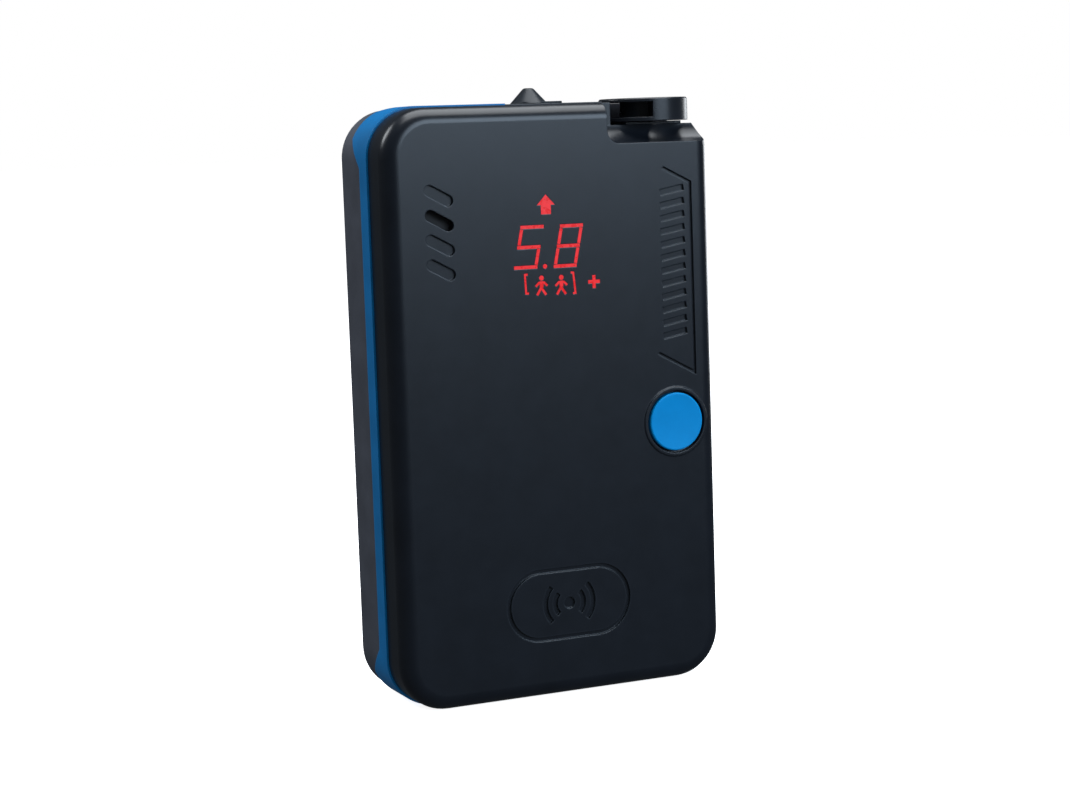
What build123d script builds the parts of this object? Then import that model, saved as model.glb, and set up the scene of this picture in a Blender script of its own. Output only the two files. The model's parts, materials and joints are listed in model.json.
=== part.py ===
from build123d import *
import math
import os

# Avalanche transceiver, in millimetres. It stands on its foot: +Z is up, -Y is the display side and
# the origin is the middle of the foot. Two hard shells close on a blue bumper band, and a black
# bridge fills the band's gap at the top, where the mode slider and the lanyard swivel sit.

# Case
WIDTH = 65.6
HEIGHT = 110.0
DEPTH = 24.5
CORNER_R = 9.0
EDGE_R = 2.9  # rounding of the front and back rims
WALL = 1.8
FRONT = -DEPTH / 2
BACK = DEPTH / 2
BAND_FRONT = -4.2  # where the front shell meets the band
BAND_BACK = -0.5  # where the band meets the back shell
BAND_PROUD = 0.4
LIP_OUT = 2.25  # the front shell's inner lip lies between these two insets
LIP_IN = 3.25
LIP_END = 1.0
BUMPER_DEPTH = 4.6  # how far back the band's corner bumpers reach

# Lanyard swivel, on a platform in a round pocket of the top right corner
PLATFORM_Z = 105.8
PLATFORM_T = 1.9
POCKET_R = 9.0
NOTCH_X = 11.4
NOTCH_Z = 102.4
NOTCH_BACK = -7.5
SWIVEL_X = 23.4
SWIVEL_Y = -3.3
SWIVEL_R = 8.4
SWIVEL_LOW = 106.4
SWIVEL_HIGH = 110.7
SECTOR_TURN = -44.0  # direction of the middle of the swivel's solid sector
EYE_R = 1.6
EYE_TURN = -75.0
EYE_REACH = 5.6

# Top bridge and mode slider
BRIDGE_LEFT = -5.5
BRIDGE_RIGHT = 19.0
BRIDGE_BACK = 5.6
BRIDGE_TOP = 110.25
BRIDGE_LOW = 102.6
CHANNEL_LOW = 106.2
CHANNEL_HIGH = 109.2
SLIDER_TRAVEL = 5.6
THUMB_X = 1.45
THUMB_Y = 0.7

# Controls, display and speaker on the front face
BUTTON_X = 24.0
BUTTON_Z = 49.7
BUTTON_R = 5.5
BUTTON_PROUD = 0.45
SLOT_X = -22.6
SLOT_Z = 87.55  # middle of the four slots
SLOT_PITCH = 4.43
SLOT_TILT = -28.5
SPEAKER_X = -20.6
SKIN = 0.9  # front wall left over the display
STROKE = 0.62
GROOVE = 0.45

# Electronics
BOARD_FRONT = -6.0
BOARD_BACK = -4.8
INNER_FRONT = FRONT + WALL

# Battery bay, door and their fasteners on the back
CELL_R = 5.25
CELL_LENGTH = 44.5
CELL_PITCH = 10.9
CELL_Y = 4.75
CELL_LOW = 16.4
BAY_HALF = 17.6
BAY_LOW = 13.2
BAY_HIGH = 62.2
TRAY_BACK = 8.7
DOOR_HALF = 20.0
DOOR_LOW = 4.6
DOOR_HIGH = 66.0
DOOR_T = 1.9
DOOR_GAP = 0.25
PIVOT_Z = DOOR_HIGH - DOOR_T / 2
PIVOT_Y = BACK - DOOR_T / 2
PIN_R = 0.55
DOOR_SCREW_Z = 8.7
SCREW_LIFT = 3.4
CASE_SCREWS = [(-26.4, 8.8), (26.4, 8.8), (-26.4, 98.0), (26.4, 92.0)]

os.makedirs("parts", exist_ok=True)


def save(name, shape):
    """Writes one sub-part, and says how many solids and how much material it has."""
    if isinstance(shape, list):
        shape = Compound(children=shape)
    export_step(shape, f"parts/{name}.step")
    print(name, len(shape.solids()), round(shape.volume, 1))


def slab(face, y_low, y_high):
    """A flat outline drawn in X and Z, made solid from y_low to y_high."""
    return extrude(Plane.XZ.offset(-y_high) * face, y_high - y_low, dir=(0, -1, 0))


def block(x_low, x_high, y_low, y_high, z_low, z_high):
    size = (x_high - x_low, y_high - y_low, z_high - z_low)
    middle = ((x_low + x_high) / 2, (y_low + y_high) / 2, (z_low + z_high) / 2)
    return Pos(*middle) * Box(*size)


def rod_x(y, z, radius, x_low, x_high):
    return Pos((x_low + x_high) / 2, y, z) * Rot(0, 90, 0) * Cylinder(radius, x_high - x_low)


def rod_y(x, z, radius, y_low, y_high):
    return Pos(x, (y_low + y_high) / 2, z) * Rot(90, 0, 0) * Cylinder(radius, y_high - y_low)


def rod_z(x, y, radius, z_low, z_high):
    return Pos(x, y, (z_low + z_high) / 2) * Cylinder(radius, z_high - z_low)


def tube_y(x, z, outer, inner, y_low, y_high):
    return rod_y(x, z, outer, y_low, y_high) - rod_y(x, z, inner, y_low - 1, y_high + 1)


def helix(radius, wire, pitch, height):
    """A round-wire coil that climbs +Z from the origin."""
    path = Helix(pitch, height, radius)
    return sweep(Plane(origin=path @ 0, z_dir=path % 0) * Circle(wire), path=path)


def outline(inset=0.0):
    """The case seen from the front, shrunk by inset on every side."""
    return Pos(0, HEIGHT / 2) * RectangleRounded(WIDTH - 2 * inset, HEIGHT - 2 * inset, CORNER_R - inset)


def ring(inset_out, inset_in, y_low, y_high):
    """A closed loop that follows the case's outline between two insets."""
    return slab(outline(inset_out) - outline(inset_in), y_low, y_high)


def line_path(points, width=STROKE):
    """A stroke with square ends through the points, as one flat outline."""
    return trace(Polyline(*points), width)


def corner_tongues():
    """The band's bumpers: it widens backwards at three corners and tapers away from each of them."""
    reach = BUMPER_DEPTH - BAND_BACK
    wall = ring(-BAND_PROUD, 1.2, BAND_BACK, BUMPER_DEPTH)
    tongues = []
    for x, z in [(-30.4, 107.6), (-30.4, 2.4), (30.4, 2.4)]:
        cone = Pos(x, BAND_BACK + reach / 2, z) * Rot(-90, 0, 0) * Cone(8.6, 3.4, reach)
        tongues.append(wall & cone)
    return tongues


def bumper_band(tongues):
    band = ring(-BAND_PROUD, LIP_OUT, BAND_FRONT, BAND_BACK)
    for tongue in tongues:
        band += tongue
    band -= block(BRIDGE_LEFT, 60, -20, 20, 99.0, 120)
    return band - block(-60, 60, -20, 20, -5, 0)


def swivel_pocket():
    """The swivel's room above the platform: round behind it and open to the front and the right."""
    pocket = rod_z(SWIVEL_X, SWIVEL_Y, POCKET_R, PLATFORM_Z, 120)
    return pocket + block(SWIVEL_X - POCKET_R, 60, -30, SWIVEL_Y, PLATFORM_Z, 120)


def platform(y_low, y_high):
    """Solid corner that the pocket is cut from."""
    low_z = PLATFORM_Z - PLATFORM_T
    return slab(outline(1.0), y_low, y_high) & block(SWIVEL_X - POCKET_R - 1.8, 60, -20, 20, low_z, 120)


def bridge():
    """Black moulding in the band's gap, with the slider's channel and the seat of the swivel."""
    body = ring(-0.25, LIP_OUT, BAND_FRONT, BAND_BACK) & block(BRIDGE_LEFT, 60, -20, 20, 99.0, 120)
    corner = block(BRIDGE_RIGHT - 1, 60, -20, 20, PLATFORM_Z - PLATFORM_T, 120)
    body += slab(outline(-0.25), BAND_FRONT, BAND_BACK) & corner
    body += block(BRIDGE_LEFT, BRIDGE_RIGHT, BAND_FRONT, BRIDGE_BACK, BRIDGE_LOW, BRIDGE_TOP)
    body -= swivel_pocket()
    neck = rod_z(SWIVEL_X, SWIVEL_Y, 7.1, PLATFORM_Z, SWIVEL_LOW - 0.1)
    body += neck & block(-60, 60, NOTCH_BACK, 60, 0, 200)
    body += rod_z(SWIVEL_X, SWIVEL_Y, 3.9, 100.4, PLATFORM_Z + 0.1)
    body -= block(-4.6, 30, -3.0, 4.4, CHANNEL_LOW, CHANNEL_HIGH)
    body -= block(-1.4, 30, -1.6, 3.0, CHANNEL_HIGH - 0.1, BRIDGE_TOP + 1)
    body -= rod_z(SWIVEL_X, SWIVEL_Y, 2.1, 101.4, PLATFORM_Z - 0.4)
    body -= rod_z(SWIVEL_X, SWIVEL_Y, 2.0, PLATFORM_Z - 0.5, SWIVEL_LOW + 1)
    for step in range(3):
        body -= rod_z(0.6 + step * SLIDER_TRAVEL / 2, 0.7, 0.6, CHANNEL_LOW - 0.25, CHANNEL_LOW + 0.1)
    return body


def bridge_pocket(y_end):
    """What a shell gives up for the bridge; y_end is how far back the corner part is cleared."""
    pocket = block(BRIDGE_LEFT, BRIDGE_RIGHT, BAND_FRONT, BRIDGE_BACK, BRIDGE_LOW, 120)
    pocket += rod_z(SWIVEL_X, SWIVEL_Y, 3.9, 100.4, PLATFORM_Z + 1)
    return pocket + block(BRIDGE_RIGHT - 1, 60, BAND_FRONT, y_end, PLATFORM_Z - PLATFORM_T, 120)


def notch():
    """The scoop in the front shell below the swivel: rounded at its left end, hollow towards the back."""
    rise = PLATFORM_Z - NOTCH_Z
    side = Polyline((FRONT - 2, NOTCH_Z), (FRONT, NOTCH_Z))
    hollow = ThreePointArc((FRONT, NOTCH_Z), (NOTCH_BACK - 1.4, NOTCH_Z + 0.33 * rise), (NOTCH_BACK, PLATFORM_Z))
    top = Polyline((NOTCH_BACK, PLATFORM_Z), (NOTCH_BACK, 115), (FRONT - 2, 115), (FRONT - 2, NOTCH_Z))
    profile = make_face(side + hollow + top)
    scoop = Pos(NOTCH_X, 0, 0) * extrude(Plane.YZ * profile, 40)
    frame = Pos(NOTCH_X + 20, NOTCH_Z + 10) * RectangleRounded(40, 20, 2.4)
    return scoop & slab(frame, FRONT - 3, NOTCH_BACK + 1)


def strokes(face_list, y_low, y_high):
    solid = None
    for face in face_list:
        piece = slab(face, y_low, y_high)
        solid = piece if solid is None else solid + piece
    return solid


def digit(x, z, segments):
    """A leaning seven-segment digit with its lower left corner at x, z; its bars almost touch."""
    lean, tall, wide, gap = 0.21, 7.3, 4.05, STROKE / 2 + 0.1
    half = tall / 2
    bars = []
    for name, row in {"a": tall, "g": half, "d": 0.0}.items():
        if name in segments:
            start = (x + row * lean - STROKE / 2, z + row)
            bars.append(line_path([start, (start[0] + wide + STROKE, z + row)]))
    columns = {"f": (0, half), "b": (wide, half), "e": (0, 0), "c": (wide, 0)}
    for name, (across, low) in columns.items():
        if name in segments:
            ends = [low + gap, low + half - gap]
            bars.append(line_path([(x + across + end * lean, z + end) for end in ends]))
    return bars


def walker(x, z):
    """A small walking figure on foot position x, z."""
    return [
        Pos(x, z + 3.2) * Circle(0.46),
        line_path([(x - 0.05, z + 2.6), (x, z + 1.5)], 0.75),
        line_path([(x - 1.2, z + 1.7), (x - 0.5, z + 2.35), (x + 0.5, z + 2.35), (x + 1.15, z + 1.75)], 0.42),
        line_path([(x - 0.95, z + 0.1), (x - 0.1, z + 1.45), (x + 0.85, z + 0.1)], 0.46),
    ]


def display_marks():
    """Everything that lights up: arrow, distance digits, group signs and the plus."""
    arrow = Polygon((-1.6, 93.6), (0.2, 91.7), (-0.6, 91.7), (-0.6, 90.0), (-2.6, 90.0), (-2.6, 91.7),
                    (-3.4, 91.7), align=None)
    marks = [arrow]
    marks += digit(-8.05, 80.5, "afgcd")
    marks += digit(-0.1, 80.4, "abcdefg")
    marks += [Pos(-2.15, 80.5) * Circle(0.42)]
    marks += [line_path([(-5.7, 79.2), (-6.25, 79.15), (-6.1, 75.75), (-5.55, 75.7)], 0.38)]
    marks += [line_path([(3.0, 79.1), (3.5, 79.05), (3.85, 75.3), (3.35, 75.25)], 0.38)]
    marks += walker(-2.95, 75.2)
    marks += walker(1.05, 75.1)
    marks += [line_path([(6.5, 77.16), (8.9, 77.16)], 0.65), line_path([(7.7, 75.95), (7.7, 78.35)], 0.65)]
    return marks


def face_grooves():
    """Shallow decoration in the front face: a framed ladder of bars and a badge of signal arcs."""
    grooves = [line_path([(22.6, 97.6), (28.3, 94.7), (28.4, 58.8), (20.8, 62.9)], 0.55)]
    for row in range(12):
        low = 66.0 + row * 2.45
        grooves.append(line_path([(21.9, low), (26.9, low + 0.9)], 1.15))
    badge = Pos(0.6, 17.5)
    grooves.append(badge * (SlotOverall(25.4, 13.6) - SlotOverall(23.8, 12.0)))
    grooves.append(badge * Circle(1.1))
    for radius in (2.9, 4.9):
        for middle in (0, 180):
            arc = CenterArc((0, 0), radius, middle - 42, 84)
            grooves.append(badge * trace(arc, 0.95))
    return grooves


def speaker_slots():
    slots = []
    for row in range(4):
        z = SLOT_Z + (1.5 - row) * SLOT_PITCH
        slots.append(Pos(SLOT_X, z) * Rot(0, 0, SLOT_TILT) * SlotOverall(6.0, 2.1))
    return slots


def front_shell(marks):
    shell = slab(outline(), FRONT, BAND_FRONT)
    shell = fillet(shell.faces().sort_by(Axis.Y)[0].edges(), EDGE_R)
    shell -= slab(outline(WALL), INNER_FRONT, BAND_FRONT + 1)
    shell += ring(WALL - 0.2, LIP_IN, BAND_FRONT - 1.6, BAND_FRONT)
    shell += ring(LIP_OUT, LIP_IN, BAND_FRONT, LIP_END)
    shell += slab(outline(1.0), FRONT + 1.2, BOARD_FRONT) & block(9.4, 31.9, -20, -6.2, 100.4, 120)
    shell += platform(-6.3, BAND_FRONT)
    shell -= notch()
    shell -= swivel_pocket()
    for x, z in CASE_SCREWS:
        shell += rod_y(x, z, 3.1, INNER_FRONT - 0.1, -1.0)
        shell -= rod_y(x, z, 1.9, -7.4, 0)
    rim = rod_y(BUTTON_X, BUTTON_Z, 6.7, FRONT - 0.25, INNER_FRONT)
    shell += fillet(rim.edges().sort_by(Axis.Y)[0], 0.22)
    shell -= rod_y(BUTTON_X, BUTTON_Z, BUTTON_R + 0.06, FRONT - 1, INNER_FRONT + 0.1)
    shell -= rod_y(BUTTON_X, BUTTON_Z, BUTTON_R + 0.5, FRONT - 1, FRONT + 0.9)
    shell -= block(-10.2, 9.6, FRONT + SKIN, INNER_FRONT + 0.1, 74.0, 94.6)
    shell -= strokes(marks, FRONT - 1, FRONT + SKIN + 0.1)
    slots = speaker_slots()
    shell -= slab(slots[1], FRONT - 1, INNER_FRONT + 0.1)
    shell -= strokes([slots[0], slots[2], slots[3]], FRONT - 1, FRONT + 0.6)
    shell -= strokes(face_grooves(), FRONT - 1, FRONT + GROOVE)
    return shell - bridge_pocket(LIP_END + 0.1)


def door_recess():
    """The space that the door swings in, with extra depth around its hinge."""
    half = DOOR_HALF + DOOR_GAP
    space = block(-half, half, BACK - DOOR_T - 0.05, BACK + 2, DOOR_LOW - DOOR_GAP, DOOR_HIGH + 0.45)
    return space + block(-half, half, BACK - DOOR_T - 0.35, BACK, PIVOT_Z - 1.3, DOOR_HIGH + 0.45)


def gasket_loop(inset):
    """Loop around the bay's mouth."""
    low, high, half = BAY_LOW - 2.0 + inset, BAY_HIGH + 1.7 - inset, BAY_HALF + 2.0 - inset
    return Pos(0, (low + high) / 2) * RectangleRounded(2 * half, high - low, 2.0 - inset)


def back_shell(tongues):
    shell = slab(outline(), BAND_BACK, BACK)
    shell = fillet(shell.faces().sort_by(Axis.Y)[-1].edges(), EDGE_R)
    shell -= slab(outline(WALL), BAND_BACK - 1, BACK - WALL)
    shell += ring(WALL - 0.2, LIP_IN, LIP_END + 0.6, LIP_END + 1.8)
    shell += block(-21.8, 21.8, TRAY_BACK, BACK - 0.5, 2.9, 68.0)
    shell -= door_recess()
    shell -= block(-BAY_HALF, BAY_HALF, TRAY_BACK - 1, BACK, BAY_LOW, BAY_HIGH)
    shell -= slab(gasket_loop(0) - gasket_loop(1.1), BACK - DOOR_T - 0.8, BACK)
    shell -= rod_x(PIVOT_Y, PIVOT_Z, PIN_R, -23.5, 23.5)
    shell += rod_y(0, DOOR_SCREW_Z, 3.2, 0.8, TRAY_BACK + 0.5)
    shell -= rod_y(0, DOOR_SCREW_Z, 2.4, 1.6, BACK)
    for x, z in CASE_SCREWS:
        shell += rod_y(x, z, 3.1, -0.8, BACK - 1)
        shell -= rod_y(x, z, 1.4, -2, BACK)
        shell -= rod_y(x, z, 2.5, 8.0, BACK + 1)
    shell -= slab(label_outline(0.1), BACK - 0.2, BACK + 1)
    for tongue in tongues:
        shell -= tongue
    shell += platform(BAND_BACK, BACK - WALL + 0.2)
    shell -= swivel_pocket()
    return shell - bridge_pocket(BAND_BACK)


def label_outline(grow=0.0):
    return Pos(0, 82.0) * RectangleRounded(34 + 2 * grow, 18 + 2 * grow, 1.5 + grow)


def battery_tray():
    outer = block(-BAY_HALF - 1.2, BAY_HALF + 1.2, -1.6, TRAY_BACK, BAY_LOW - 1.2, BAY_HIGH + 1.2)
    tray = outer - block(-BAY_HALF, BAY_HALF, -0.6, TRAY_BACK + 1, BAY_LOW, BAY_HIGH)
    for x in (-CELL_PITCH / 2, CELL_PITCH / 2):
        rib = block(x - 0.6, x + 0.6, -0.7, 2.4, BAY_LOW + 4, BAY_HIGH - 4)
        for side in (-1, 1):
            middle = x + side * CELL_PITCH / 2
            rib -= Pos(middle, CELL_Y, 40) * Cylinder(CELL_R + 0.1, 80)
        tray += rib
    return tray


def cell(x, plus_up):
    body = rod_z(x, CELL_Y, CELL_R, 0, CELL_LENGTH - 1.1) + rod_z(x, CELL_Y, 2.7, 0, CELL_LENGTH)
    groove = rod_z(x, CELL_Y, CELL_R + 1, 0.5, 0.9) - rod_z(x, CELL_Y, CELL_R - 0.25, 0, 2)
    body -= groove
    if plus_up:
        return Pos(0, 0, CELL_LOW) * body
    flipped = Pos(2 * x, 0, 0) * Rot(0, 180, 0) * body
    return Pos(0, 0, CELL_LOW + CELL_LENGTH) * flipped


def battery_contacts():
    """Plates and springs at the two ends of the bay; every cell has a spring at its flat end."""
    pieces = [
        block(-16.0, 4.9, CELL_Y - 4, CELL_Y + 4, BAY_LOW, BAY_LOW + 0.4),
        block(6.0, 16.0, CELL_Y - 4, CELL_Y + 4, BAY_LOW, BAY_LOW + 0.4),
        block(-16.0, -6.0, CELL_Y - 4, CELL_Y + 4, BAY_HIGH - 0.4, BAY_HIGH),
        block(-4.9, 16.0, CELL_Y - 4, CELL_Y + 4, BAY_HIGH - 0.4, BAY_HIGH),
    ]
    coils = []
    for x in (-CELL_PITCH, CELL_PITCH):
        height = CELL_LOW - BAY_LOW - 0.4
        coils.append(Pos(x, CELL_Y, BAY_LOW + 0.65) * helix(3.0, 0.25, 0.8, height - 0.5))
    return pieces, coils


def battery_gasket():
    return slab(gasket_loop(0.05) - gasket_loop(1.05), BACK - DOOR_T - 0.75, BACK - DOOR_T - 0.03)


def battery_door():
    """Its top edge is rounded about the hinge pin, so it turns inside its own recess."""
    low_y = BACK - DOOR_T
    door = block(-DOOR_HALF, DOOR_HALF, low_y, BACK, DOOR_LOW, PIVOT_Z)
    door = fillet(door.edges().filter_by(Axis.Y).sort_by(Axis.Z)[:2], 2.5)
    door += rod_x(PIVOT_Y, PIVOT_Z, DOOR_T / 2, -DOOR_HALF, DOOR_HALF)
    for row in range(5):
        z = 16.5 + row * 2.2
        door -= slab(Pos(0, z) * SlotOverall(16 - row * 1.5, 0.9), BACK - 0.4, BACK + 1)
    door += rod_y(0, DOOR_SCREW_Z, 4.2, low_y, BACK)
    door -= rod_y(0, DOOR_SCREW_Z, 1.35, low_y - 1, BACK + 1)
    door -= rod_y(0, DOOR_SCREW_Z, 3.1, BACK - 1.1, BACK + 1)
    return door - rod_x(PIVOT_Y, PIVOT_Z, PIN_R + 0.05, -DOOR_HALF - 1, DOOR_HALF + 1)


def door_screw():
    neck = BACK - DOOR_T - SCREW_LIFT - 1.0
    screw = rod_y(0, DOOR_SCREW_Z, 2.75, BACK - 1.05, BACK - 0.05)
    screw += rod_y(0, DOOR_SCREW_Z, 1.0, neck, BACK - 0.5)
    screw += rod_y(0, DOOR_SCREW_Z, 1.45, 2.2, neck)
    screw -= tube_y(0, DOOR_SCREW_Z, 2.0, 0.75, neck + 0.45, neck + 0.95)
    return screw - block(-2.2, 2.2, BACK - 0.55, BACK + 1, DOOR_SCREW_Z - 0.4, DOOR_SCREW_Z + 0.4)


def screw_clip():
    """Retaining ring under the door; it travels with the screw but does not turn."""
    neck = BACK - DOOR_T - SCREW_LIFT - 1.0
    return tube_y(0, DOOR_SCREW_Z, 1.9, 0.8, neck + 0.5, neck + 0.9)


def case_screw(x, z):
    screw = rod_y(x, z, 2.2, 8.0, 9.7) + rod_y(x, z, 1.2, -7.0, 8.1)
    for turn in (0, 90):
        cross = Pos(x, 9.4, z) * Rot(0, turn, 0) * Box(2.6, 1.4, 0.6)
        screw -= cross
    return screw


def search_button():
    """The blue cap alone: dished in the middle and rounded at its rim."""
    cap = rod_y(BUTTON_X, BUTTON_Z, BUTTON_R, FRONT - BUTTON_PROUD, INNER_FRONT + 0.05)
    cap = fillet(cap.edges().sort_by(Axis.Y)[0], 0.35)
    cap -= Pos(BUTTON_X, FRONT - BUTTON_PROUD - 59.75, BUTTON_Z) * Sphere(60)
    return cap


def button_plunger():
    plunger = rod_y(BUTTON_X, BUTTON_Z, 6.4, INNER_FRONT + 0.05, INNER_FRONT + 0.85)
    return plunger + rod_y(BUTTON_X, BUTTON_Z, 1.7, INNER_FRONT + 0.8, -8.35)


def button_boot():
    """Rubber skirt that carries the plunger and springs it back; it folds as the button goes in."""
    boot = tube_y(BUTTON_X, BUTTON_Z, 5.4, 4.6, BOARD_FRONT - 1.2, BOARD_FRONT)
    boot += tube_y(BUTTON_X, BUTTON_Z, 4.9, 4.4, -8.6, BOARD_FRONT - 1.1)
    return boot + tube_y(BUTTON_X, BUTTON_Z, 4.9, 2.2, -8.75, -8.3)


def mode_slider():
    """Blunt thumb cone on a low skirt, with a flange in the bridge's channel."""
    low = BRIDGE_TOP + 0.05
    cone = Pos(THUMB_X, THUMB_Y, low + 1.45) * Cone(3.55, 0.9, 2.9)
    cone = fillet(cone.edges().sort_by(Axis.Z)[-1], 0.85)
    skirt = block(-1.0, 7.4, -2.3, 3.7, low, low + 0.35)
    skirt = fillet(skirt.edges().filter_by(Axis.Z), 1.2)
    neck = block(-1.2, 2.6, -1.5, 2.9, 108.9, low + 0.2)
    flange = block(-4.4, 5.6, -2.9, 4.3, CHANNEL_LOW + 0.1, CHANNEL_HIGH - 0.1)
    flange -= block(2.6, 5.0, -1.0, 2.4, CHANNEL_LOW, CHANNEL_HIGH - 0.9)
    flange -= block(-3.0, 1.6, -0.3, 1.7, CHANNEL_LOW, CHANNEL_LOW + 1.4)
    return cone + skirt + neck + flange


def slider_magnet():
    return block(2.6, 5.0, -1.0, 2.4, CHANNEL_LOW + 0.15, CHANNEL_HIGH - 0.9)


def detent_leaf():
    """Bowed steel leaf under the slider; its nose clicks into the dimples in the channel's floor."""
    arch = ThreePointArc((-2.8, CHANNEL_LOW + 1.2), (-0.7, CHANNEL_LOW + 0.35), (1.4, CHANNEL_LOW + 1.2))
    return slab(trace(arch, 0.2), -0.3, 1.7)


def track_end():
    """Plug that closes the channel's open end and fills the rest of its slot."""
    plug = block(11.4, BRIDGE_RIGHT, -3.0, 4.4, CHANNEL_LOW, CHANNEL_HIGH)
    plug += block(8.6, BRIDGE_RIGHT, -1.6, 3.0, CHANNEL_HIGH, BRIDGE_TOP)
    return plug - swivel_pocket()


def swivel():
    """Lanyard anchor: a spool whose solid sector holds the cord's eye."""
    here = Pos(SWIVEL_X, SWIVEL_Y, 0)
    body = rod_z(0, 0, SWIVEL_R, SWIVEL_LOW, SWIVEL_HIGH)
    groove = rod_z(0, 0, SWIVEL_R + 1, SWIVEL_LOW + 0.7, SWIVEL_HIGH - 0.7) - rod_z(0, 0, 4.4, 0, 200)
    half = math.radians(60)
    reach = 30
    wedge = Polygon((0, 0), (reach, -reach * math.tan(half)), (reach, reach * math.tan(half)), align=None)
    groove -= Rot(0, 0, SECTOR_TURN) * Pos(0, 0, 100) * extrude(wedge, 20)
    body -= groove
    body = chamfer(body.edges().filter_by(GeomType.CIRCLE).sort_by(Axis.Z)[-1], 0.25)
    body -= Rot(0, 0, EYE_TURN) * rod_z(EYE_REACH, 0, EYE_R, 0, 200)
    body -= rod_z(0, 0, 2.05, 0, 200)
    body -= rod_z(0, 0, 3.1, SWIVEL_HIGH - 1.2, 200)
    return here * body


def swivel_screw():
    here = Pos(SWIVEL_X, SWIVEL_Y, 0)
    screw = rod_z(0, 0, 2.75, SWIVEL_HIGH - 1.1, SWIVEL_HIGH - 0.1) + rod_z(0, 0, 2.0, 105.4, SWIVEL_HIGH - 1)
    screw += rod_z(0, 0, 1.2, 102.2, 105.5)
    screw -= extrude(Pos(0, 0, SWIVEL_HIGH - 0.9) * RegularPolygon(1.1, 6), 2)
    return here * screw


def display_guide(marks):
    """Red moulding behind the face, whose raised marks fill the openings flush."""
    plate = block(-10.0, 9.4, FRONT + SKIN, INNER_FRONT - 0.02, 74.2, 94.4)
    return plate + strokes(marks, FRONT, FRONT + SKIN + 0.1)


def circuit_board():
    board = slab(Pos(0, 52.3) * RectangleRounded(57.0, 95.8, 4.7), BOARD_FRONT, BOARD_BACK)
    for x, z in CASE_SCREWS:
        board -= rod_y(x, z, 3.4, -20, 20)
    return board


def board_components():
    front_side = [(-22, -16, 55, 61), (-8, 4, 58, 66), (8, 11, 60, 64), (-26, -22, 40, 52), (-10, -2, 34, 42),
                  (4, 12, 36, 40), (-20, -12, 20, 26), (-4, 0, 22, 30), (6, 16, 20, 26), (14, 17, 70, 76)]
    pieces = [block(x0, x1, BOARD_FRONT - 1.1, BOARD_FRONT, z0, z1) for x0, x1, z0, z1 in front_side]
    pieces += [block(x, x + 1.6, BOARD_BACK, BOARD_BACK + 0.9, 96.5, 99.5) for x in (1.4, 4.2, 7.0)]
    pieces += [block(x, x + 3, BOARD_BACK, BOARD_BACK + 1.8, 66, 69) for x in (-18, -12, 6, 12)]
    return pieces


def tact_switch():
    body = block(BUTTON_X - 3, BUTTON_X + 3, BOARD_FRONT - 1.2, BOARD_FRONT, BUTTON_Z - 3, BUTTON_Z + 3)
    return body + rod_y(BUTTON_X, BUTTON_Z, 1.6, BOARD_FRONT - 1.45, BOARD_FRONT - 1.1)


def speaker():
    body = rod_y(SPEAKER_X, SLOT_Z, 8.5, -9.4, -7.2) + rod_y(SPEAKER_X, SLOT_Z, 5.0, -7.3, BOARD_FRONT)
    rim = tube_y(SPEAKER_X, SLOT_Z, 8.5, 7.4, -9.9, -9.3)
    return body + rim


def speaker_seal():
    """Foam ring between the speaker and the shell, with a water-tight cloth across it."""
    return tube_y(SPEAKER_X, SLOT_Z, 8.4, 6.6, INNER_FRONT, -9.9) + \
        rod_y(SPEAKER_X, SLOT_Z, 6.7, INNER_FRONT + 0.05, INNER_FRONT + 0.15)


def display_module():
    module = block(-9.6, 9.0, -10.35, BOARD_FRONT, 74.6, 94.0)
    return module - block(-8.6, 8.0, -10.4, -8.6, 75.6, 93.0)


def display_lamps():
    """The light-emitting chips in the module's well."""
    spots = [(-1.6, 91.6), (-5.4, 88), (-4.5, 84.2), (-6, 80.6), (2.9, 88), (2.4, 84.2), (2.0, 80.4),
             (-5.9, 77.4), (-3.0, 77), (1.0, 77), (3.8, 77.2), (6.6, 77.2)]
    return [block(x - 0.6, x + 0.6, -9.2, -8.6, z - 0.6, z + 0.6) for x, z in spots]


def antenna(kind):
    """A ferrite rod and the coil wound on it; the three stand at right angles to one another."""
    if kind == "x":
        core = rod_x(4.6, 71.5, 3.0, -24, 24)
        coil = rod_x(4.6, 71.5, 3.9, -20, 20)
    elif kind == "y":
        core = rod_y(-21.5, 84.0, 3.6, -3.9, 9.6)
        coil = rod_y(-21.5, 84.0, 4.7, -3.0, 8.8)
    else:
        core = rod_z(24.6, 3.6, 3.0, 15.5, 64.0)
        coil = rod_z(24.6, 3.6, 3.9, 20.0, 60.0)
    return core, coil - core


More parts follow.
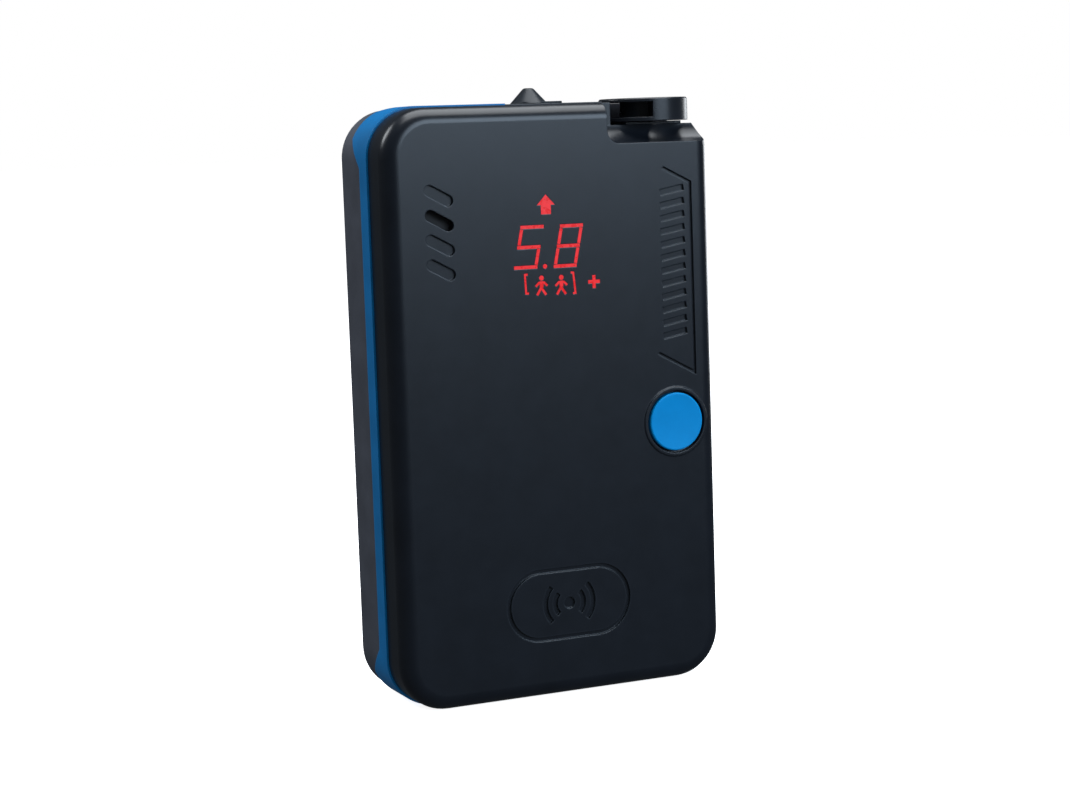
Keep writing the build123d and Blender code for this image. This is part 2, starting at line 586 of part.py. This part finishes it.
def main():
    tongues = corner_tongues()
    marks = display_marks()
    save("front_shell", front_shell(marks))
    save("back_shell", back_shell(tongues))
    save("bumper_band", bumper_band(tongues))
    save("top_bridge", bridge())
    save("case_gasket", ring(LIP_OUT + 0.1, LIP_IN - 0.05, LIP_END, LIP_END + 0.6) - bridge_pocket(LIP_END + 1))
    save("track_end", track_end())
    save("mode_slider", mode_slider())
    save("slider_magnet", slider_magnet())
    save("detent_leaf", detent_leaf())
    save("swivel", swivel())
    save("swivel_screw", swivel_screw())
    save("swivel_insert", Pos(SWIVEL_X, SWIVEL_Y, 0) * (rod_z(0, 0, 2.1, 101.4, 105.2) - rod_z(0, 0, 1.2, 100, 110)))
    save("search_button", search_button())
    save("button_plunger", button_plunger())
    save("button_boot", button_boot())
    save("tact_switch", tact_switch())
    save("display_guide", display_guide(marks))
    save("display_module", display_module())
    save("display_lamps", display_lamps())
    save("speaker", speaker())
    save("speaker_seal", speaker_seal())
    save("circuit_board", circuit_board())
    save("board_components", board_components())
    for kind in ("x", "y", "z"):
        core, coil = antenna(kind)
        save(f"antenna_{kind}_core", core)
        save(f"antenna_{kind}_coil", coil)
    save("battery_tray", battery_tray())
    contact_plates, contact_coils = battery_contacts()
    save("contact_plates", contact_plates)
    save("contact_springs", contact_coils)
    save("cell_left", cell(-CELL_PITCH, True))
    save("cell_middle", cell(0, False))
    save("cell_right", cell(CELL_PITCH, True))
    save("battery_door", battery_door())
    save("battery_gasket", battery_gasket())
    save("hinge_pin", rod_x(PIVOT_Y, PIVOT_Z, PIN_R, -23.5, 23.5))
    save("door_screw", door_screw())
    save("screw_clip", screw_clip())
    save("door_insert", tube_y(0, DOOR_SCREW_Z, 2.4, 1.85, 1.6, 3.6))
    save("case_screws", [case_screw(x, z) for x, z in CASE_SCREWS])
    save("case_inserts", [tube_y(x, z, 1.9, 1.2, -7.4, -1.0) for x, z in CASE_SCREWS])
    save("rating_label", slab(label_outline(), BACK - 0.2, BACK - 0.02))


main()
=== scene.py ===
import json
import math

import bmesh
import bpy
from mathutils import Matrix, Vector


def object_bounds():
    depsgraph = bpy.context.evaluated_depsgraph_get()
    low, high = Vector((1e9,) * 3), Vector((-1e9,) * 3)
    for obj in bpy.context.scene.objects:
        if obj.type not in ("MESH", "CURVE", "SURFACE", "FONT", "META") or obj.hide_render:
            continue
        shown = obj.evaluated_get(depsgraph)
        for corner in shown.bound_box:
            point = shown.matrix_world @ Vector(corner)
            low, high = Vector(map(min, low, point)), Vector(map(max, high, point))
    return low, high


# Camera, in degrees and metres: it looks at TARGET from DISTANCE away
YAW = 24.095
PITCH = 6.67
ROLL = -1.95
DISTANCE = 0.425
TARGET = (0.0004, 0.0, 0.0545)
LENS = 75.29
SENSOR = 36.0

# Rounding of sharp edges in the shading, in metres
MOULD_EDGE = 0.00025
METAL_EDGE = 0.0001
BEVEL_SAMPLES = 6

FLOOR_GAP = 0.0002  # how far the floor lies under the foot

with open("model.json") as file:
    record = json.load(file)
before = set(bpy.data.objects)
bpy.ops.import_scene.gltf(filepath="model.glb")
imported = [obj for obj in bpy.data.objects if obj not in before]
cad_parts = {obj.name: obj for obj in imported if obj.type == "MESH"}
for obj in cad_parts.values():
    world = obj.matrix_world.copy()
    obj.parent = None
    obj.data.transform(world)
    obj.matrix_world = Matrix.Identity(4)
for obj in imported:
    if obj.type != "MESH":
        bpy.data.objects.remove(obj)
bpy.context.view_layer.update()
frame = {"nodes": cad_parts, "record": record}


def set_camera():
    """The photograph's viewpoint."""
    yaw, pitch, roll = (math.radians(angle) for angle in (YAW, PITCH, ROLL))
    back = Vector((-math.sin(yaw) * math.cos(pitch), -math.cos(yaw) * math.cos(pitch), math.sin(pitch)))
    right = Vector((0, 0, 1)).cross(back).normalized()
    up = back.cross(right)
    turned_right = right * math.cos(roll) + up * math.sin(roll)
    turned_up = up * math.cos(roll) - right * math.sin(roll)
    camera = bpy.data.objects.new("camera", bpy.data.cameras.new("camera"))
    bpy.context.scene.collection.objects.link(camera)
    camera.data.lens = LENS
    camera.data.sensor_width = SENSOR
    camera.data.clip_start = 0.01
    place = Vector(TARGET) + back * DISTANCE
    turn = Matrix((turned_right, turned_up, back)).transposed()
    camera.matrix_world = Matrix.Translation(place) @ turn.to_4x4()
    bpy.context.scene.camera = camera


def add_light(name, place, aim, size, power, colour=(1, 1, 1)):
    """A soft rectangular lamp."""
    data = bpy.data.lights.new(name, "AREA")
    data.shape = "RECTANGLE"
    data.size, data.size_y = size
    data.energy = power
    data.color = colour
    lamp = bpy.data.objects.new(name, data)
    bpy.context.scene.collection.objects.link(lamp)
    lamp.location = place
    lamp.visible_camera = False
    lamp.rotation_euler = (Vector(aim) - Vector(place)).to_track_quat("-Z", "Y").to_euler()


def nodes_of(material):
    tree = material.node_tree
    return tree, tree.nodes["Principled BSDF"]


def link(tree, source, target):
    tree.links.new(source, target)


def noise(tree, scale, detail=3.0, distortion=0.0, stretch=None):
    """Noise fixed to the object's own coordinates, optionally stretched along an axis."""
    place = tree.nodes.new("ShaderNodeTexCoord")
    texture = tree.nodes.new("ShaderNodeTexNoise")
    texture.inputs["Scale"].default_value = scale
    texture.inputs["Detail"].default_value = detail
    texture.inputs["Distortion"].default_value = distortion
    if stretch is None:
        link(tree, place.outputs["Object"], texture.inputs["Vector"])
    else:
        mapping = tree.nodes.new("ShaderNodeMapping")
        mapping.inputs["Scale"].default_value = stretch
        link(tree, place.outputs["Object"], mapping.inputs["Vector"])
        link(tree, mapping.outputs["Vector"], texture.inputs["Vector"])
    return texture.outputs["Fac"]


def spread(tree, source, low, high, span=(0.3, 0.7)):
    """Maps a texture's middle range onto the range low to high."""
    ramp = tree.nodes.new("ShaderNodeMapRange")
    ramp.inputs["From Min"].default_value = span[0]
    ramp.inputs["From Max"].default_value = span[1]
    ramp.inputs["To Min"].default_value = low
    ramp.inputs["To Max"].default_value = high
    link(tree, source, ramp.inputs["Value"])
    return ramp.outputs["Result"]


def blend_colours(tree, factor, first, second):
    mix = tree.nodes.new("ShaderNodeMix")
    mix.data_type = "RGBA"
    mix.inputs["A"].default_value = (*first, 1)
    mix.inputs["B"].default_value = (*second, 1)
    link(tree, factor, mix.inputs["Factor"])
    return mix.outputs["Result"]


def worn_edges(tree, base, bright, reach=0.0006):
    """Lightens the rubbed edges of a moulding, found by comparing its rounded and its flat normals."""
    bevel = tree.nodes.new("ShaderNodeBevel")
    bevel.samples = BEVEL_SAMPLES
    bevel.inputs["Radius"].default_value = reach
    geometry = tree.nodes.new("ShaderNodeNewGeometry")
    compare = tree.nodes.new("ShaderNodeVectorMath")
    compare.operation = "DOT_PRODUCT"
    link(tree, bevel.outputs["Normal"], compare.inputs[0])
    link(tree, geometry.outputs["Normal"], compare.inputs[1])
    rubbed = spread(tree, compare.outputs["Value"], 1.0, 0.0, (0.80, 0.97))
    mix = tree.nodes.new("ShaderNodeMix")
    mix.data_type = "RGBA"
    link(tree, base, mix.inputs["A"])
    mix.inputs["B"].default_value = (*bright, 1)
    link(tree, rubbed, mix.inputs["Factor"])
    return mix.outputs["Result"]


def bump(tree, shader, height, strength, distance, softened=0.0):
    """Surface relief; softened also rounds the sharp edges of the shape beneath it."""
    node = tree.nodes.new("ShaderNodeBump")
    node.inputs["Strength"].default_value = strength
    node.inputs["Distance"].default_value = distance
    link(tree, height, node.inputs["Height"])
    if softened:
        bevel = tree.nodes.new("ShaderNodeBevel")
        bevel.samples = BEVEL_SAMPLES
        bevel.inputs["Radius"].default_value = softened
        link(tree, bevel.outputs["Normal"], node.inputs["Normal"])
    link(tree, node.outputs["Normal"], shader.inputs["Normal"])


def moulded(name, colour, rough, grain=9000.0, relief=0.00002, strength=0.12, shift=0.18, wear=None,
            specular=0.5):
    """Injection-moulded plastic: faint mottling, uneven gloss, fine grain and rubbed edges."""
    material = bpy.data.materials.new(name)
    material.use_nodes = True
    tree, shader = nodes_of(material)
    darker = tuple(channel * (1 - shift) for channel in colour)
    lighter = tuple(min(channel * (1 + shift), 1) for channel in colour)
    tint = blend_colours(tree, spread(tree, noise(tree, 160.0, 4.0), 0, 1), darker, lighter)
    if wear:
        tint = worn_edges(tree, tint, wear)
    link(tree, tint, shader.inputs["Base Color"])
    gloss = spread(tree, noise(tree, 420.0, 5.0), rough * 0.97, min(rough * 1.03, 1))
    link(tree, gloss, shader.inputs["Roughness"])
    shader.inputs["Specular IOR Level"].default_value = specular
    bump(tree, shader, noise(tree, grain, 2.0), strength, relief, MOULD_EDGE)
    return material


def metal(name, colour, rough, stretch=(60, 60, 1200), relief=0.00001):
    """Turned or drawn metal with fine lines and uneven polish."""
    material = bpy.data.materials.new(name)
    material.use_nodes = True
    tree, shader = nodes_of(material)
    lines = noise(tree, 20.0, 4.0, 0.0, stretch)
    darker = tuple(channel * 0.82 for channel in colour)
    link(tree, blend_colours(tree, spread(tree, lines, 0, 1), darker, colour), shader.inputs["Base Color"])
    link(tree, spread(tree, lines, rough * 0.8, rough * 1.25), shader.inputs["Roughness"])
    shader.inputs["Metallic"].default_value = 1.0
    bump(tree, shader, lines, 0.2, relief, METAL_EDGE)
    return material


def glowing(name, colour, power):
    """Red light guide: its glow varies with a cloudy noise."""
    material = bpy.data.materials.new(name)
    material.use_nodes = True
    tree, shader = nodes_of(material)
    cloud = noise(tree, 900.0, 3.0)
    dim = tuple(channel * 0.8 for channel in colour)
    tint = blend_colours(tree, spread(tree, cloud, 0, 1), dim, colour)
    body = blend_colours(tree, cloud, (0.10, 0.002, 0.002), (0.14, 0.003, 0.003))
    link(tree, body, shader.inputs["Base Color"])
    link(tree, tint, shader.inputs["Emission Color"])
    link(tree, spread(tree, cloud, 0.22, 0.36), shader.inputs["Roughness"])
    shader.inputs["Emission Strength"].default_value = power
    bump(tree, shader, cloud, 0.1, 0.00002)
    return material


def wound_wire(name, colour, axis):
    """Enamelled wire laid in close turns along an axis, with painted shade in the grooves between the
    turns.
    """
    material = bpy.data.materials.new(name)
    material.use_nodes = True
    tree, shader = nodes_of(material)
    place = tree.nodes.new("ShaderNodeTexCoord")
    wave = tree.nodes.new("ShaderNodeTexWave")
    wave.bands_direction = axis
    wave.inputs["Scale"].default_value = 900.0
    wave.inputs["Distortion"].default_value = 0.4
    link(tree, place.outputs["Object"], wave.inputs["Vector"])
    # painted shade: the colour falls to 0.3 of the wire's in bands, standing in for the shade between the
    # turns
    dark = tuple(channel * 0.3 for channel in colour)
    link(tree, blend_colours(tree, wave.outputs["Fac"], dark, colour), shader.inputs["Base Color"])
    link(tree, spread(tree, noise(tree, 500.0), 0.25, 0.4), shader.inputs["Roughness"])
    shader.inputs["Metallic"].default_value = 0.8
    bump(tree, shader, wave.outputs["Fac"], 0.6, 0.0001)
    return material


def board_finish(name):
    """Green solder mask over faint copper tracks."""
    material = bpy.data.materials.new(name)
    material.use_nodes = True
    tree, shader = nodes_of(material)
    place = tree.nodes.new("ShaderNodeTexCoord")
    cells = tree.nodes.new("ShaderNodeTexBrick")
    cells.inputs["Scale"].default_value = 320.0
    cells.inputs["Mortar Size"].default_value = 0.03
    cells.inputs["Color1"].default_value = (0.004, 0.060, 0.025, 1)
    cells.inputs["Color2"].default_value = (0.006, 0.075, 0.032, 1)
    cells.inputs["Mortar"].default_value = (0.030, 0.160, 0.060, 1)
    turn = tree.nodes.new("ShaderNodeMapping")
    turn.inputs["Rotation"].default_value = (math.radians(90), 0, 0)
    link(tree, place.outputs["Object"], turn.inputs["Vector"])
    link(tree, turn.outputs["Vector"], cells.inputs["Vector"])
    link(tree, cells.outputs["Color"], shader.inputs["Base Color"])
    link(tree, spread(tree, noise(tree, 300.0), 0.25, 0.4), shader.inputs["Roughness"])
    bump(tree, shader, cells.outputs["Fac"], 0.3, 0.00004)
    return material


def jacket(name):
    """Cell jacket: dark film with a bright band towards one end."""
    material = bpy.data.materials.new(name)
    material.use_nodes = True
    tree, shader = nodes_of(material)
    geometry = tree.nodes.new("ShaderNodeNewGeometry")
    split = tree.nodes.new("ShaderNodeSeparateXYZ")
    link(tree, geometry.outputs["Position"], split.inputs["Vector"])
    band = spread(tree, split.outputs["Z"], 0.0, 1.0, (0.0475, 0.0478))
    tint = blend_colours(tree, band, (0.035, 0.038, 0.045), (0.62, 0.36, 0.10))
    link(tree, tint, shader.inputs["Base Color"])
    film = noise(tree, 250.0, 4.0)
    link(tree, spread(tree, film, 0.2, 0.38), shader.inputs["Roughness"])
    shader.inputs["Metallic"].default_value = 0.7
    bump(tree, shader, film, 0.15, 0.00003, 0.0001)
    return material


def make_finishes():
    """One procedural finish for each material slot in the record."""
    black = (0.008, 0.009, 0.012)
    return {
        "shell_gloss": moulded("shell_gloss", (0.0070, 0.0092, 0.0135), 0.29, 12000.0, 0.000010, 0.08, 0.12,
                               (0.018, 0.023, 0.030), specular=0.40),
        "shell_matte": moulded("shell_matte", (0.056, 0.063, 0.082), 0.52, 7000.0, 0.000040, 0.30, 0.14,
                               (0.10, 0.11, 0.13), specular=0.4),
        "door_matte": moulded("door_matte", (0.052, 0.059, 0.077), 0.50, 7000.0, 0.000040, 0.30, 0.14,
                              (0.10, 0.11, 0.13), specular=0.4),
        "band_blue": moulded("band_blue", (0.0010, 0.135, 0.360), 0.42, 8000.0, 0.000030, 0.22, 0.10,
                             (0.006, 0.19, 0.48), specular=0.2),
        "bridge_black": moulded("bridge_black", black, 0.34, 9000.0, 0.000020, 0.15, 0.15,
                                (0.02, 0.02, 0.026), specular=0.4),
        "slider_black": moulded("slider_black", (0.012, 0.015, 0.020), 0.34, 9000.0, 0.000020, 0.18, 0.15,
                                (0.02, 0.024, 0.03), specular=0.25),
        "swivel_black": moulded("swivel_black", (0.010, 0.012, 0.016), 0.28, 9000.0, 0.000015, 0.12, 0.15,
                                (0.024, 0.028, 0.035), specular=0.4),
        "button_blue": moulded("button_blue", (0.000, 0.245, 0.600), 0.42, 9000.0, 0.000020, 0.16, 0.06,
                               (0.004, 0.27, 0.66), specular=0.1),
        "display_red": glowing("display_red", (1.0, 0.006, 0.008), 0.76),
        "lamp_red": glowing("lamp_red", (1.0, 0.05, 0.04), 3.0),
        "inner_plastic": moulded("inner_plastic", (0.045, 0.047, 0.052), 0.5, 6000.0, 0.00003, 0.2),
        "switch_plastic": moulded("switch_plastic", (0.02, 0.02, 0.022), 0.45, 6000.0, 0.00003, 0.2),
        "seal_rubber": moulded("seal_rubber", (0.012, 0.012, 0.013), 0.72, 5000.0, 0.00005, 0.35),
        "screw_black": metal("screw_black", (0.10, 0.10, 0.11), 0.38),
        "screw_steel": metal("screw_steel", (0.55, 0.56, 0.58), 0.28),
        "spring_steel": metal("spring_steel", (0.60, 0.60, 0.61), 0.22),
        "insert_brass": metal("insert_brass", (0.72, 0.50, 0.20), 0.34),
        "magnet": metal("magnet", (0.70, 0.70, 0.72), 0.16),
        "speaker_metal": metal("speaker_metal", (0.42, 0.42, 0.44), 0.36),
        "board_green": board_finish("board_green"),
        "chip_black": moulded("chip_black", (0.014, 0.014, 0.016), 0.5, 5000.0, 0.00003, 0.25),
        "ferrite": moulded("ferrite", (0.03, 0.029, 0.030), 0.55, 3000.0, 0.00006, 0.4),
        "coil_copper": wound_wire("coil_copper", (0.62, 0.26, 0.10), "Z"),
        "contact_nickel": metal("contact_nickel", (0.68, 0.66, 0.60), 0.26),
        "cell_jacket": jacket("cell_jacket"),
        "label_grey": moulded("label_grey", (0.16, 0.165, 0.175), 0.42, 4000.0, 0.00003, 0.2, 0.08),
    }


def dress_nodes(finishes):
    """Gives every CAD node its slot's finish."""
    for part in frame["record"]["subparts"]:
        slots = frame["nodes"][part["node"]].material_slots
        for slot in slots:
            slot.material = finishes[part["material_slot"]]
    for axis in ("x", "y"):
        wire = wound_wire(f"coil_copper_{axis}", (0.62, 0.26, 0.10), axis.upper())
        frame["nodes"][f"antenna_{axis}_coil"].material_slots[0].material = wire


def add_floor():
    """A large sheet of white paper."""
    mesh = bpy.data.meshes.new("floor")
    shape = bmesh.new()
    shape.faces.new([shape.verts.new((x, y, 0)) for x, y in ((-9, -3), (9, -3), (9, 15), (-9, 15))])
    shape.to_mesh(mesh)
    shape.free()
    floor = bpy.data.objects.new("floor", mesh)
    bpy.context.scene.collection.objects.link(floor)
    material = bpy.data.materials.new("floor_paper")
    material.use_nodes = True
    tree, shader = nodes_of(material)
    paper = noise(tree, 60.0, 4.0)
    tint = blend_colours(tree, spread(tree, paper, 0, 1), (0.96, 0.96, 0.96), (0.98, 0.98, 0.98))
    link(tree, tint, shader.inputs["Base Color"])
    link(tree, spread(tree, paper, 0.8, 0.9), shader.inputs["Roughness"])
    shader.inputs["Specular IOR Level"].default_value = 0.0
    shader.inputs["Emission Color"].default_value = (1, 1, 1, 1)
    shader.inputs["Emission Strength"].default_value = 0.88
    bump(tree, shader, paper, 0.05, 0.0002)
    mesh.materials.append(material)
    floor.location = (0, 0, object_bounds()[0][2] - FLOOR_GAP)
    floor.visible_glossy = False
    floor.visible_diffuse = False


def surroundings(tree, colour, strength):
    sky = tree.nodes.new("ShaderNodeBackground")
    sky.inputs["Color"].default_value = (*colour, 1)
    sky.inputs["Strength"].default_value = strength
    return sky.outputs["Background"]


def choose(tree, factor, first, second):
    mix = tree.nodes.new("ShaderNodeMixShader")
    link(tree, factor, mix.inputs["Fac"])
    link(tree, first, mix.inputs[1])
    link(tree, second, mix.inputs[2])
    return mix.outputs["Shader"]


def add_world():
    """White backdrop, a soft fill on matt surfaces and a dark room in the glossy ones."""
    world = bpy.data.worlds.new("studio")
    world.use_nodes = True
    tree = world.node_tree
    ray = tree.nodes.new("ShaderNodeLightPath")
    fill = surroundings(tree, (0.92, 0.96, 1.0), 0.32)
    room = surroundings(tree, (0.80, 0.90, 1.0), 0.06)
    backdrop = surroundings(tree, (1, 1, 1), 1.0)
    reflected = choose(tree, ray.outputs["Is Glossy Ray"], fill, room)
    seen = choose(tree, ray.outputs["Is Camera Ray"], reflected, backdrop)
    link(tree, seen, tree.nodes["World Output"].inputs["Surface"])
    bpy.context.scene.world = world


def add_lamps():
    """Front fill that fades down the face, a soft top light and a light from behind on each side."""
    bpy.context.scene.view_settings.view_transform = "Standard"
    middle = (0, 0, 0.06)
    cool = (0.92, 0.96, 1.0)
    add_light("fill", (0.43, -0.96, 0.38), middle, (0.70, 0.45), 7.6, (0.66, 0.82, 1.0))
    add_light("top", (0.15, -0.03, 0.90), middle, (0.80, 0.80), 11.0, cool)
    add_light("rim", (-0.32, 0.20, 0.36), middle, (0.16, 0.20), 0.9, cool)
    add_light("side", (0.78, 0.42, 0.16), middle, (0.35, 0.35), 1.5, cool)


set_camera()
add_floor()
add_world()
add_lamps()
dress_nodes(make_finishes())
